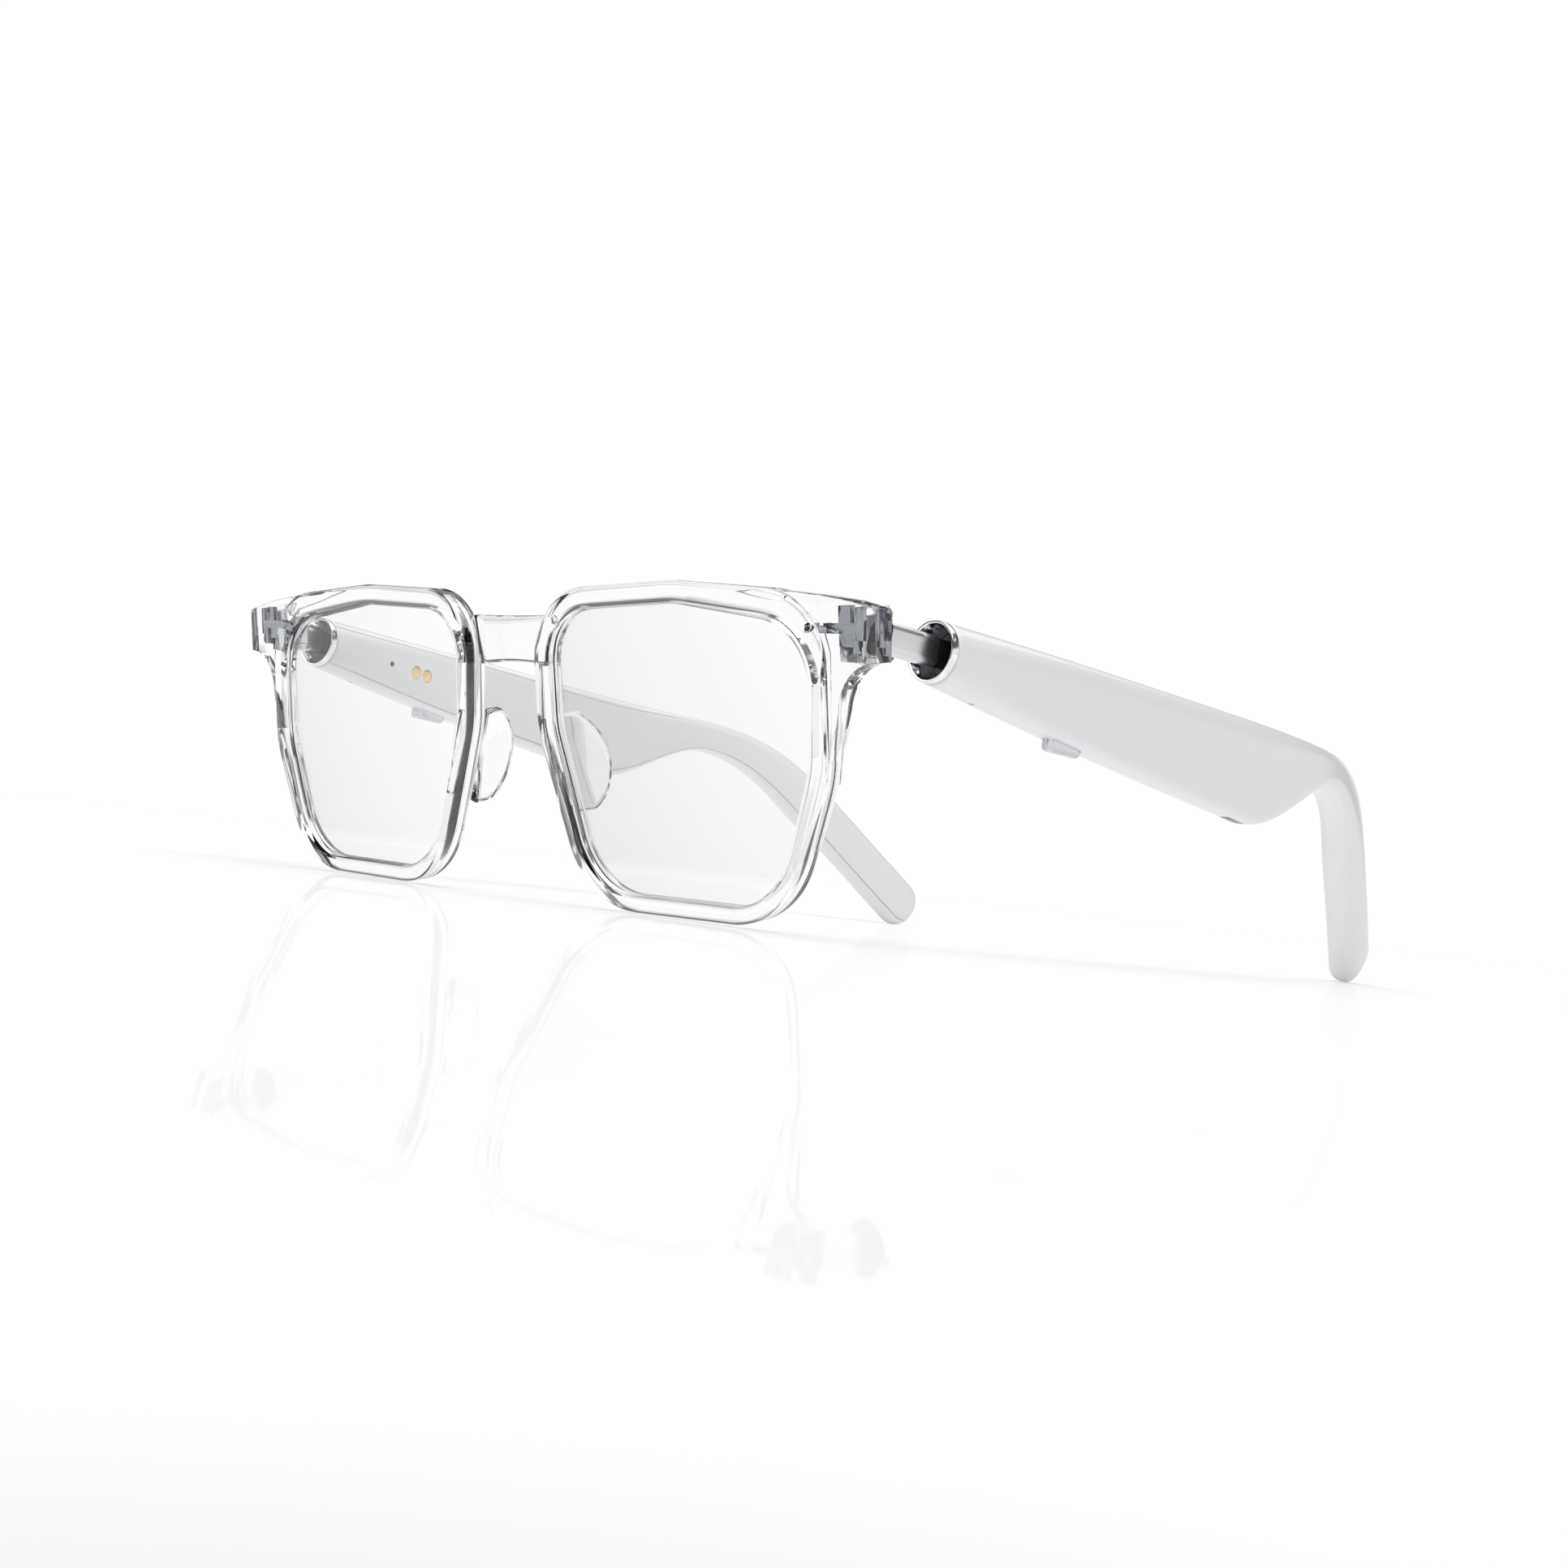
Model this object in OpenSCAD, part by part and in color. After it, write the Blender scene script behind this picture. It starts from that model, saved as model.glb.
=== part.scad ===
// Smart glasses: a clear front with two flat lenses, and two white sound temples that
// plug onto short metal hinge arms through round chrome sockets.
// Millimetres. X runs across the face (+X is the wearer's left), Y from the lenses to
// the ear tips, Z up. The glasses stand open on both rims and both ear tips.
// Everything is drawn in the front's own frame (lens plane upright) and then leaned
// forward by stand(), so that the rims and the tips touch the same flat surface.

/* [Front] */
// Half of the width over the end pieces
half_w = 70; // [69.5:0.1:71.5]
// Depth of a rim, front to back
rim_depth = 3.8; // [3.4:0.1:4.4]
// Width of the rim band beside and above the lens
rim_band = 3.2; // [2.8:0.1:3.6]
// Width of the rim band under the lens
rim_band_low = 2.5; // [2.2:0.1:3.2]
// Turn of each rim about the bridge, in degrees
wrap = 2.6; // [0:0.1:3]
// How far the bridge lies behind the rims
bridge_back = 2.4; // [1.6:0.1:2.8]
// How far the end pieces lie behind the rims
end_back = 0.9; // [0.5:0.1:1.1]
// Thickness of a lens
lens_t = 1.8; // [1.4:0.1:2.2]

/* [Nose pads] */
// Height of a nose pad
pad_h = 14.6; // [12:0.2:16]
// Depth of a nose pad behind the rim
pad_d = 6.9; // [5.5:0.1:7.2]
// Thickness of a nose pad
pad_t = 1.9; // [1.4:0.1:2.2]

/* [Hinge] */
// Distance of the hinge pin from the middle of the glasses
pin_x = 64.6; // [64.2:0.1:64.8]
// Distance of the hinge pin behind the front
pin_y = 10.5; // [10.3:0.1:10.8]
// Radius of the hinge pin
pin_r = 0.75; // [0.6:0.05:0.9]
// Height of the hinge arm's bar
arm_h = 4.2; // [3.8:0.1:4.4]
// Thickness of the hinge arm's bar
arm_t = 2.6; // [2.2:0.1:2.7]

/* [Temple] */
// Radius of the round socket ring
ring_r = 4.2; // [4.1:0.05:4.4]
// Length of a temple from the socket ring to the end of the ear tip
temple_l = 163; // [158:1:172]
// Fall of the temple's straight part, in degrees below the lens plane's normal
slope = 14.1; // [12:0.1:16]
// Further fall of the ear tip, in degrees
ear_drop = 37; // [30:1:42]
// Inward turn of the ear tip, in degrees
toe_in = 16; // [10:1:18]
// Depth of the temple at the speaker bulge
bulge_d = 15.6; // [14.6:0.1:16.5]
// Depth of the neck behind the bulge
neck_d = 6.2; // [5.8:0.1:7]
// Depth of the ear tip
tip_d = 9.8; // [8:0.1:10]
// Thickness of the temple's wall
wall = 1.2; // [1:0.05:1.3]

/* [Button] */
// Length of the button along the temple
button_l = 7; // [6:0.2:7.4]
// How far the button stands out of the temple
button_out = 1.3; // [0.8:0.1:1.4]

/* [Hidden] */
$fn = 64;

// Rim outline: centre x, centre z and radius of the circles that it wraps
rim_circles = [[18.2, 34.9, 10.6], [34.2, 23.4, 22.8], [51, 34.2, 10.9], [42.1, 24, 20],
               [24.9, 28.2, 17], [44.6, 13.9, 13.9], [27, 13.9, 13.9]];
low_row = 5;          // the circles from here on are the two lower corners
outer_corner = 2;     // this circle is the upper outer corner
corner_ease = [-1.3, -2.6, 1.7];   // how its centre and radius differ at the opening
wrap_x = 8;           // each half turns about this line
lens_grip = 0.6;      // how far the lens reaches into the rim
fit = 0.05;           // clearance of a part that sits in a pocket
end_rear = 4.1;       // rear face of the end piece, in its own half
bridge_t = 3;

// Hinge levels
eye_z = [36.5, 40.8];
ear_z = [[35.5, 36.4], [40.9, 41.8]];
knuckle_r = 1.75;

// Temple stations, along the straight top edge and round the ear bend
socket_c = [68.1, 16.3, 36.5];
out_lean = 5.6;
bow = 0.045;
step = 4;
end_round = 4.5;
ring_l = 1.3;
sleeve_r = 3.6;       // the ring's sleeve reaches this far round inside the shell
sleeve_l = 7;
stations = concat([ring_l, ring_l + 2.5, sleeve_l + 0.4, sleeve_l + 0.6],
                  [for (s = [sleeve_l + step : step : temple_l - end_round - 0.5]) s],
                  [for (a = [5 : 14 : 75]) temple_l - end_round * (1 - sin(a))],
                  [temple_l - 0.1]);
lip = 47;             // half of the cover's opening, as an angle of the section
seam = 1.1;           // half of the seam between shell and cover, as an angle
ear_from = 93;        // the hollow ends here and the tip is solid but for its core
button_s = 28;        // the button's place along the temple
core_w = 0.9;
core_h = 1.6;

function ramp(s, a, b) = s <= a ? 0 : s >= b ? 1 : (s - a) / (b - a);
function ease(s, a, b) = let (u = ramp(s, a, b)) u * u * (3 - 2 * u);
function fall(s) = slope + ear_drop * ease(s, 94, 134);
function yaw(s) = out_lean - bow * max(s, 0) - toe_in * ease(s, 62, 112);
function ahead(s) = [sin(yaw(s)), cos(yaw(s)) * cos(fall(s)), -cos(yaw(s)) * sin(fall(s))];
function above(s) = [0, sin(fall(s)), cos(fall(s))];
function aside(s) = cross(ahead(s), above(s));
ridge = [for (i = 0, p = socket_c + ring_r * above(0); i <= temple_l;
              p = p + ahead(i + 0.5), i = i + 1) p];
function top_at(s) = s < 0 ? ridge[0] + s * ahead(0)
    : let (i = min(floor(s), len(ridge) - 2)) ridge[i] + (s - i) * (ridge[i + 1] - ridge[i]);

// Half depth and half thickness of the temple, and how square its section is
function grown(s) = let (u = ramp(s, 0, 72)) 1.25 * u - 0.25 * u * u;
function depth(s) = 2 * ring_r + (bulge_d - 2 * ring_r) * grown(s)
    - (bulge_d - neck_d) * ease(s, 72, 98) + (tip_d - neck_d) * ease(s, 98, 130);
function half_d(s) = depth(s) / 2;
function half_t(s) = ring_r - 0.6 * ease(s, 0, 30) - 0.3 * ease(s, 30, 80) - 0.4 * ease(s, 80, 115);
function squareness(s) = 2 + 1.2 * ease(s, 0, 30) - 0.6 * ease(s, 85, 115);
function closing(s) = let (u = ramp(s, temple_l - end_round, temple_l)) sqrt(1 - u * u);
function mid(s) = top_at(s) - half_d(s) * above(s);

// Inner half sizes of the hollow: thin behind the ring, roomy in the body, a slot in the tip
function in_socket(s) = s < sleeve_l + 0.5;
function hollow_t(s) = in_socket(s) ? sleeve_r + 2 * fit
    : let (room = half_t(s) - wall) room + (core_w + 0.1 - room) * ease(s, ear_from - 9, ear_from);
function hollow_d(s) = in_socket(s) ? sleeve_r + 2 * fit
    : let (room = half_d(s) - wall) room + (core_h + 0.1 - room) * ease(s, ear_from - 9, ear_from);

function bend_pow(v, e) = sign(v) * pow(abs(v), 2 / e);
function hollow_mid(s) = in_socket(s) ? top_at(s) - ring_r * above(s) : mid(s);
function section_point(s, t, hx, hz, o) = let (e = squareness(s))
    o + hx * bend_pow(cos(t), e) * aside(s) + hz * bend_pow(sin(t), e) * above(s);
function wall_ring(s, t0, t1, n) = let (c = closing(s), k = min(1, c * 1.02))
    concat([for (i = [0 : n]) section_point(s, t0 + (t1 - t0) * i / n, c * half_t(s), c * half_d(s), mid(s))],
           [for (i = [n : -1 : 0]) section_point(s, t0 + (t1 - t0) * i / n,
                              k * k * hollow_t(s), k * k * hollow_d(s), hollow_mid(s))]);

// Standing pose: the rims' lower edge and the lowest point of the ear tips touch z = 0
rim_y = (rim_circles[len(rim_circles) - 1][0] - wrap_x) * sin(wrap);
function skin(s, t) = section_point(s, t, closing(s) * half_t(s), closing(s) * half_d(s), mid(s));
lean = max([for (s = stations, t = [210 : 5 : 330]) let (p = skin(s, t)) atan2(-p[2], p[1] - rim_y)]);
function stood_y(p) = p[1] * cos(lean) - p[2] * sin(lean);
first = rim_circles[0];
brow = norm([tan(wrap) * cos(lean), sin(lean)]);
front_y = (first[0] - wrap_x) * tan(wrap) * cos(lean) - first[1] * sin(lean) - first[2] * brow;
rear_y = max([for (s = stations, t = [30 : 5 : 150]) stood_y(skin(s, t))]);

// Skin over a row of rings; each ring is an outer run of points and an inner run back
module loft(rings) {
    m = len(rings[0]);
    last = len(rings) - 1;
    sides = [for (j = [0 : last - 1]) for (i = [0 : m - 1])
        let (a = j * m + i, b = j * m + (i + 1) % m) each [[a, b, b + m], [a, b + m, a + m]]];
    caps = [for (i = [0 : m / 2 - 2])
        let (a = i, b = i + 1, c = m - 2 - i, d = m - 1 - i, o = last * m)
        each [[a, d, c], [a, c, b], [o + a, o + c, o + d], [o + a, o + b, o + c]]];
    polyhedron(points = [for (r = rings) each r], faces = concat(sides, caps));
}

// Puts children at a station: x across and outwards, y along, z up, origin at mid depth
module at_station(s, dz = 0) {
    x = aside(s);
    y = ahead(s);
    z = above(s);
    o = s < 0 ? top_at(s) - ring_r * z : mid(s);
    p = o + dz * z;
    multmatrix([[x[0], y[0], z[0], p[0]], [x[1], y[1], z[1], p[1]], [x[2], y[2], z[2], p[2]]])
        children();
}

module along(l) { rotate([-90, 0, 0]) linear_extrude(l) children(); }
module outwards(l) { rotate([0, 90, 0]) cylinder(r = l[0], h = l[1], center = true); }
module stand() {
    translate([0, -(front_y + rear_y) / 2, -rim_y * sin(lean)]) rotate([lean, 0, 0]) children();
}
module placed(side) {
    stand() if (side == "left") children(); else mirror([1, 0, 0]) children();
}
module wrapped() {
    translate([wrap_x, 0, 0]) rotate([0, 0, wrap]) translate([-wrap_x, 0, 0]) children();
}
module plate(y0, y1) { translate([0, y1, 0]) rotate([90, 0, 0]) linear_extrude(y1 - y0) children(); }
module round_rect(w, h, r) {
    hull() for (x = [-1, 1]) for (z = [-1, 1]) translate([x * (w / 2 - r), z * (h / 2 - r)]) circle(r);
}

// Front
module rim_shape(inset, inset_low) {
    hull() for (i = [0 : len(rim_circles) - 1])
        let (c = rim_circles[i] + (i == outer_corner ? inset / rim_band : 0) * corner_ease)
        translate([c[0], c[1]]) circle(c[2] - (i < low_row ? inset : inset_low));
}
module end_shape() {
    difference() {
        polygon([[36, 45.5], [51, 44.9], [60, 44.2], [66, 43.3], [half_w, 42.2], [half_w, 35.4],
                 [69.9, 35.4], [69.9, 29.1], [63.6, 29.1], [62.6, 25.3], [61.5, 19.4],
                 [60.5, 19.4], [60.5, 39.6], [36, 44]]);
        translate([69.9, 29.1]) circle(6.3);
    }
}
module half_front() {
    wrapped() difference() {
        union() {
            plate(0, rim_depth) rim_shape(0, 0);
            plate(end_back, end_rear) end_shape();
        }
        translate([0, -1, 0]) plate(0, rim_depth + 2) rim_shape(rim_band, rim_band_low);
        plate(1 - fit, 1 + lens_t + fit)
            rim_shape(rim_band - lens_grip - fit, rim_band_low - lens_grip - fit);
    }
}
module bridge() {
    plate(bridge_back, bridge_back + bridge_t) difference() {
        polygon([[-9.6, 41.5], [9.6, 41.5], [7.6, 34.3], [-7.6, 34.3]]);
        translate([0, -23.3]) circle(57.9);
    }
}
module front_frame() {
    color([0.93, 0.95, 0.96, 0.35]) stand() difference() {
        union() {
            half_front();
            mirror([1, 0, 0]) half_front();
            bridge();
        }
        anchor_solid();
        mirror([1, 0, 0]) anchor_solid();
    }
}
module lens() {
    color([0.82, 0.84, 0.86, 0.4]) wrapped() plate(1, 1 + lens_t)
        rim_shape(rim_band - lens_grip, rim_band_low - lens_grip);
}
module nose_pad() {
    color([0.95, 0.97, 0.98, 0.45]) wrapped() intersection() {
        translate([0, rim_depth, 8]) cube([20, 12, 24]);
        translate([10.4, rim_depth - 0.7, 20]) rotate([0, -14, 0]) rotate([0, 0, -14])
            rotate([0, 90, 0]) linear_extrude(pad_t, center = true) intersection() {
                translate([-pad_h / 2, 0]) square([pad_h, pad_d + 1.4]);
                translate([0, pad_d - 7.2]) circle(8.6);
            }
    }
}

// Hinge: an anchor cast into the end piece, a fork behind it, a pin and the arm
module anchor_solid() {
    wrapped() {
        translate([61.4, 1.9, 39.1]) cube([5.4, 1.6, 1.3]);
        translate([63.4, 1.9, 40.2]) cube([2, 1.6, 2.4]);
        translate([66.2, 1.9, 38.2]) cube([1, 1.6, 4.2]);
        translate([65.6, 2.2, 36.6]) cube([0.9, 1.2, 2.7]);
        for (i = [0 : 3])
            translate([57.4 + i, 2.95, 39.1]) cube([1.1, 0.6, 1 + (i % 2) * 0.35]);
        translate([62.8, 3.4, 37.4]) cube([3.6, end_rear - 3.4, 3]);
    }
}
module hinge_anchor() { color([0.42, 0.46, 0.52]) anchor_solid(); }
module hinge_fork() {
    color([0.62, 0.64, 0.67]) difference() {
        union() {
            wrapped() translate([62.6, end_rear, ear_z[0][0]])
                cube([2.8, 0.9, ear_z[1][1] - ear_z[0][0]]);
            for (z = ear_z) translate([pin_x, pin_y, z[0]]) {
                cylinder(r = knuckle_r, h = z[1] - z[0]);
                translate([-1.6, -3.4, 0]) cube([2.4, 3.4, z[1] - z[0]]);
            }
        }
        translate([pin_x, pin_y, 30]) cylinder(r = pin_r + 0.01, h = 14);
    }
}
module hinge_pin() {
    color([0.75, 0.76, 0.78]) difference() {
        translate([pin_x, pin_y, 0]) {
            translate([0, 0, ear_z[0][0] - 0.1]) cylinder(r = pin_r, h = 6.6);
            translate([0, 0, ear_z[1][1] + 0.02]) cylinder(r = 1.3, h = 0.7);
        }
        translate([pin_x - 2, pin_y - 0.15, ear_z[1][1] + 0.4]) cube([4, 0.3, 1]);
    }
}
module hinge_arm() {
    color([0.78, 0.79, 0.8]) difference() {
        union() {
            at_station(-8.2) along(8.5) round_rect(arm_t, arm_h, 1);
            translate([pin_x, pin_y, eye_z[0]]) {
                cylinder(r = knuckle_r - 0.05, h = eye_z[1] - eye_z[0]);
                translate([0, -0.8, 0]) cube([2.6, 2.4, 3.2]);
            }
        }
        translate([pin_x, pin_y, 30]) cylinder(r = pin_r + 0.04, h = 14);
    }
}
module arm_buffer() {
    color([0.05, 0.05, 0.06]) at_station(-8.95) along(0.7) round_rect(arm_t, arm_h, 0.9);
}

// Socket: chrome ring, black liner and the black plug that carries the arm
module plug() {
    color([0.04, 0.04, 0.05]) at_station(0) translate([0, 0.35, 0]) along(8) round_rect(2.2, 3.8, 0.8);
}
module ring_collar() {
    color([0.85, 0.86, 0.88]) at_station(0) rotate([-90, 0, 0]) rotate_extrude()
        polygon([[sleeve_r + 0.15, 0], [ring_r - 0.15, 0], [ring_r, 0.2], [ring_r, ring_l - fit],
                 [sleeve_r, ring_l - fit], [sleeve_r, sleeve_l], [sleeve_r - 0.25, sleeve_l],
                 [sleeve_r - 0.25, 1.1], [sleeve_r + 0.15, 0.4]]);
}
module socket_liner() {
    color([0.03, 0.03, 0.035]) at_station(0) difference() {
        rotate([-90, 0, 0]) translate([0, 0, 4]) cylinder(r = sleeve_r - 0.27, h = 2.8);
        translate([0, 2, 0]) along(6) round_rect(2.3, 3.9, 0.8);
    }
}

// Temple
module button_hole(grow) {
    at_station(button_s) for (y = [-1, 1]) translate([0, y * (button_l / 2 - 1.1), 0])
        mirror([0, 0, 1]) cylinder(r = 1.1 + grow, h = half_d(button_s) + 2);
    at_station(button_s) translate([-1.1 - grow, 1.1 - button_l / 2, -half_d(button_s) - 2])
        cube([2.2 + 2 * grow, button_l - 2.2, half_d(button_s) + 2]);
}
module temple_shell() {
    color([0.94, 0.95, 0.95]) difference() {
        loft([for (s = stations) wall_ring(s, lip - 180 + seam, 180 - lip - seam, 22)]);
        button_hole(0.1);
        at_station(9) mirror([0, 0, 1]) cylinder(r = 0.45, h = 8);
        at_station(71) translate([-0.85, -3.6, -9]) cube([1.7, 7.2, 5]);
    }
}
module inner_cover() {
    color([0.93, 0.94, 0.94]) difference() {
        loft([for (s = stations) wall_ring(s, 180 - lip + seam, 180 + lip - seam, 6)]);
        for (s = [20.4, 23.1]) at_station(s) translate([-4, 0, 0]) outwards([1.1 + fit, 5]);
        at_station(14.4) translate([-4, 0, 0]) outwards([0.45 + fit, 5]);
    }
}
module tip_core() {
    color([0.6, 0.61, 0.63]) loft([for (s = [ear_from + 1 : step : temple_l - 8])
        [for (q = [[-1, 1], [1, 1], [1, -1], [-1, -1]])
            mid(s) + q[0] * core_w * 0.6 * aside(s) + q[1] * core_h * 0.6 * above(s)]]);
}
module battery() {
    color([0.35, 0.37, 0.4]) at_station(54) cube([3.4, 26, 7.8], center = true);
}
module circuit_board() {
    color([0.1, 0.35, 0.2]) at_station(26) translate([-0.8, 0, 1.3]) {
        cube([0.8, 26, 5.4], center = true);
        for (y = [-8, 0, 7]) translate([0.8, y, 0.4]) cube([0.8, 4.5, 3.4], center = true);
    }
}
module speaker() {
    color([0.15, 0.15, 0.16]) at_station(75) cube([3.2, 11, 7], center = true);
}
module speaker_grille() {
    color([0.08, 0.08, 0.09]) at_station(71) translate([-0.8, -3.55, 0.35 - half_d(71)])
        cube([1.6, 7.1, 0.8]);
}
module microphone() {
    color([0.7, 0.65, 0.4]) at_station(10.6) translate([0, 0, -2.7]) cube([2.2, 3, 1], center = true);
}
module wear_sensor() {
    color([0.06, 0.05, 0.08]) at_station(14.4) translate([0.5 - half_t(14.4), 0, 0]) outwards([0.45, 0.8]);
}
module charging_contacts() {
    color([0.78, 0.63, 0.35]) for (s = [20.4, 23.1])
        at_station(s) translate([0.5 - half_t(s), 0, 0]) outwards([1.1, 0.95]);
}
module button() {
    color([0.82, 0.83, 0.85]) intersection() {
        button_hole(0);
        at_station(button_s) translate([-3, -button_l, -half_d(button_s) - button_out])
            cube([6, 2 * button_l, button_out + 2]);
    }
}
module button_switch() {
    color([0.2, 0.2, 0.22]) at_station(button_s) translate([0, 0, 3.2 - half_d(button_s)])
        cube([2.6, 3.6, 1.1], center = true);
}
module flex_cable() {
    color([0.75, 0.5, 0.15]) at_station(8.5) translate([-0.8, 0, -0.2]) cube([0.25, 4.2, 2.4]);
}

front_frame();
placed("left") lens();  // lens_left
placed("right") lens();  // lens_right
placed("left") nose_pad();  // nose_pad_left
placed("right") nose_pad();  // nose_pad_right
placed("left") hinge_anchor();  // hinge_anchor_left
placed("right") hinge_anchor();  // hinge_anchor_right
placed("left") hinge_fork();  // hinge_fork_left
placed("right") hinge_fork();  // hinge_fork_right
placed("left") hinge_pin();  // hinge_pin_left
placed("right") hinge_pin();  // hinge_pin_right
placed("left") hinge_arm();  // hinge_arm_left
placed("right") hinge_arm();  // hinge_arm_right
placed("left") arm_buffer();  // arm_buffer_left
placed("right") arm_buffer();  // arm_buffer_right
placed("left") plug();  // plug_left
placed("right") plug();  // plug_right
placed("left") ring_collar();  // ring_collar_left
placed("right") ring_collar();  // ring_collar_right
placed("left") socket_liner();  // socket_liner_left
placed("right") socket_liner();  // socket_liner_right
placed("left") temple_shell();  // temple_shell_left
placed("right") temple_shell();  // temple_shell_right
placed("left") inner_cover();  // inner_cover_left
placed("right") inner_cover();  // inner_cover_right
placed("left") tip_core();  // tip_core_left
placed("right") tip_core();  // tip_core_right
placed("left") battery();  // battery_left
placed("right") battery();  // battery_right
placed("left") circuit_board();  // circuit_board_left
placed("right") circuit_board();  // circuit_board_right
placed("left") speaker();  // speaker_left
placed("right") speaker();  // speaker_right
placed("left") speaker_grille();  // speaker_grille_left
placed("right") speaker_grille();  // speaker_grille_right
placed("left") microphone();  // microphone_left
placed("right") microphone();  // microphone_right
placed("left") wear_sensor();  // wear_sensor_left
placed("right") wear_sensor();  // wear_sensor_right
placed("left") charging_contacts();  // charging_contacts_left
placed("right") charging_contacts();  // charging_contacts_right
placed("left") button();  // button_left
placed("right") button();  // button_right
placed("left") button_switch();  // button_switch_left
placed("right") button_switch();  // button_switch_right
placed("left") flex_cable();  // flex_cable_left
placed("right") flex_cable();  // flex_cable_right
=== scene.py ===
import math

import bmesh
import bpy
import numpy as np
from mathutils import Matrix, Vector


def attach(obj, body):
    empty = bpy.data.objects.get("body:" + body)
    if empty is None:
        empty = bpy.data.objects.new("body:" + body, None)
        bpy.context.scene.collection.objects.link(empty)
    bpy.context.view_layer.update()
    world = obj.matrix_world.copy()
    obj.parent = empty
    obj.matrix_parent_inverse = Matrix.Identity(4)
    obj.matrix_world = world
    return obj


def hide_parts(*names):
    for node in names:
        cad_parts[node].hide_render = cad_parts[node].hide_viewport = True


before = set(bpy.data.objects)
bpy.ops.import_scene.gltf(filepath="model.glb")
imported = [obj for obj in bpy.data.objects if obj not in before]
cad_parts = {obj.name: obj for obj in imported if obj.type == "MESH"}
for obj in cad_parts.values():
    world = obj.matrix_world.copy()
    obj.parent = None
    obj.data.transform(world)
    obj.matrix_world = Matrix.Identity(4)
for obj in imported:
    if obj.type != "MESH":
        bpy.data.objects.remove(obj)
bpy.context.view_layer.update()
MM = 0.001
SIDES = (("left", 1), ("right", -1))

# ---------------------------------------------------------------- sizes, in mm
HALF_W, BAND, BAND_LOW, WRAP = 70.0, 3.2, 2.5, 2.6
WRAP_X, BRIDGE_BACK, BRIDGE_T, END_BACK, END_REAR = 8.0, 2.4, 3.0, 0.9, 4.1
BRIDGE_ARC = (-23.3, 57.9)            # height of the centre, and radius, of its lower edge
FLARE = (69.9, 29.1, 6.3)             # centre and radius of the end piece's lower curve
RING_R, RING_L, TEMPLE_L, SLOPE, EAR_DROP, TOE_IN = 4.2, 1.3, 163.0, 14.1, 37.0, 16.0
BULGE_D, NECK_D, TIP_D, WALL, OUT_LEAN, BOW = 15.6, 6.2, 9.8, 1.2, 5.6, 0.045
SOCKET = np.array((68.1, 16.3, 36.5))
LIP, SEAM, END_ROUND = 47.0, 0.7, 4.5
CIRCLES = np.array(((18.2, 34.9, 10.6), (34.2, 23.4, 22.8), (51, 34.2, 10.9), (42.1, 24, 20),
                    (24.9, 28.2, 17), (44.6, 13.9, 13.9), (27, 13.9, 13.9)))
LOW_ROW, OUTER_CORNER = 5, 2          # the two lower corners start here; the upper outer corner
CORNER_EASE = np.array((-1.3, -2.6, 1.7))
SLEEVE_R, SLEEVE_L, STEP = 3.6, 7.0, 4
# places along the temple
MIC_S, SENSOR_S, CONTACTS_S, BUTTON_S, SPEAKER_S = 9, 14.4, (20.4, 23.1), 28, 71
BUTTON_OUT, PILL_W, PILL_L = 1.3, 2.2, 7.0


def rad(a):
    return math.radians(a)


def ramp(s, a, b):
    return min(1.0, max(0.0, (s - a) / (b - a)))


def ease(s, a, b):
    u = ramp(s, a, b)
    return u * u * (3 - 2 * u)


# ---------------------------------------------------------------- temple's run, as in the CAD
def fall(s):
    return rad(SLOPE + EAR_DROP * ease(s, 94, 134))


def yaw(s):
    return rad(OUT_LEAN - BOW * max(s, 0) - TOE_IN * ease(s, 62, 112))


def ahead(s):
    return np.array((math.sin(yaw(s)), math.cos(yaw(s)) * math.cos(fall(s)),
                     -math.cos(yaw(s)) * math.sin(fall(s))))


def above(s):
    return np.array((0, math.sin(fall(s)), math.cos(fall(s))))


def aside(s):
    return np.cross(ahead(s), above(s))


RIDGE = [SOCKET + RING_R * above(0)]
for i in range(int(TEMPLE_L)):
    RIDGE.append(RIDGE[-1] + ahead(i + 0.5))


def top_at(s):
    if s < 0:
        return RIDGE[0] + s * ahead(0)
    i = min(int(s), len(RIDGE) - 2)
    return RIDGE[i] + (s - i) * (RIDGE[i + 1] - RIDGE[i])


def grown(s):
    u = ramp(s, 0, 72)
    return 1.25 * u - 0.25 * u * u


def half_d(s):
    return (2 * RING_R + (BULGE_D - 2 * RING_R) * grown(s) - (BULGE_D - NECK_D) * ease(s, 72, 98)
            + (TIP_D - NECK_D) * ease(s, 98, 130)) / 2


def half_t(s):
    return RING_R - 0.6 * ease(s, 0, 30) - 0.3 * ease(s, 30, 80) - 0.4 * ease(s, 80, 115)


def squareness(s):
    return 2 + 1.2 * ease(s, 0, 30) - 0.6 * ease(s, 85, 115)


def closing(s):
    u = ramp(s, TEMPLE_L - END_ROUND, TEMPLE_L)
    return math.sqrt(max(0.0, 1 - u * u))


def mid(s):
    return top_at(s) - half_d(s) * above(s)


def section_point(s, t, hx, hz, o=None):
    e = 2 / squareness(s)
    c, d = math.cos(t), math.sin(t)
    return ((mid(s) if o is None else o) + hx * math.copysign(abs(c) ** e, c) * aside(s)
            + hz * math.copysign(abs(d) ** e, d) * above(s))


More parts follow.
